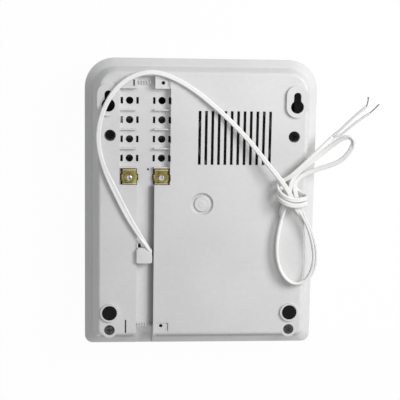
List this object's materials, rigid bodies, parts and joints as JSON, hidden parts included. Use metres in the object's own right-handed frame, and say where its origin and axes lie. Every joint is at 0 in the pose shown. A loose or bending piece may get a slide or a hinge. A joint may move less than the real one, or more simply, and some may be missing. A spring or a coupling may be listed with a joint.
{
  "type": "desktop intercom",
  "caption": "Desktop handset intercom lying face down: moulded case with cradled handset, call button, terminal bay, keyholes, rubber feet and a tied twin cord.",
  "frame": {"origin": "under the middle of the case, on the surface that its front panel rests on", "axes": "+X across the case towards the handset side, +Y towards the top end, +Z from the front panel towards the back panel"},
  "size_m": [0.2309, 0.23, 0.0691],
  "materials": {
    "housing": "fine satin texture",
    "handset": "satin",
    "panel": "satin",
    "button": "satin",
    "window": "clear",
    "green_lens": "translucent",
    "red_lens": "translucent",
    "foot": "matt",
    "brass": "pressed",
    "steel": "zinc plated",
    "black_plastic": "matt",
    "board": "varnished",
    "cord": "smooth",
    "strands": "tinned copper"
  },
  "bodies": {
    "base": {"rear_case": "housing", "front_case": "housing", "cradle_tray": "housing", "rubber_foot_left": "foot", "rubber_foot_right": "foot", "cord_hood": "housing", "terminal_plate_left": "brass", "terminal_plate_right": "brass", "terminal_screws": "steel", "upper_case_screws": "steel", "lower_case_screws": "steel", "speaker_basket": "steel", "speaker_cone": "black_plastic", "speaker_magnet": "steel", "key_panel": "panel", "card_window": "window", "key_switch": "black_plastic", "circuit_board": "board", "board_screws": "steel", "power_light": "green_lens", "call_light": "red_lens", "hook_switch": "black_plastic", "case_jack": "black_plastic", "line_cord": "cord", "cord_hank": "cord", "core_left": "cord", "core_right": "cord", "bare_strands_left": "strands", "bare_strands_right": "strands"},
    "handset": {"handset_cup_shell": "handset", "handset_spine_shell": "handset", "handset_jack": "black_plastic", "receiver_capsule": "black_plastic", "microphone_capsule": "steel", "handset_weight": "steel", "handset_screws": "steel"},
    "hook": {"hook_plunger": "black_plastic"},
    "button": {"call_button": "button"}
  },
  "joints": [
    {"name": "handset_lift", "type": "slide", "parent": "base", "child": "handset", "axis": [0, 0, -1], "range_m": [0, 0.06]},
    {"name": "hook_travel", "type": "slide", "parent": "base", "child": "hook", "axis": [0, 0, -1], "range_m": [0, 0.0042]},
    {"name": "call_button_press", "type": "slide", "parent": "base", "child": "button", "axis": [0, 0, 1], "range_m": [0, 0.002], "stiffness_N_per_m": 400}
  ],
  "couplings": [
    {"joint": "hook_travel", "follows": "handset_lift", "ratio": 0.07}
  ]
}
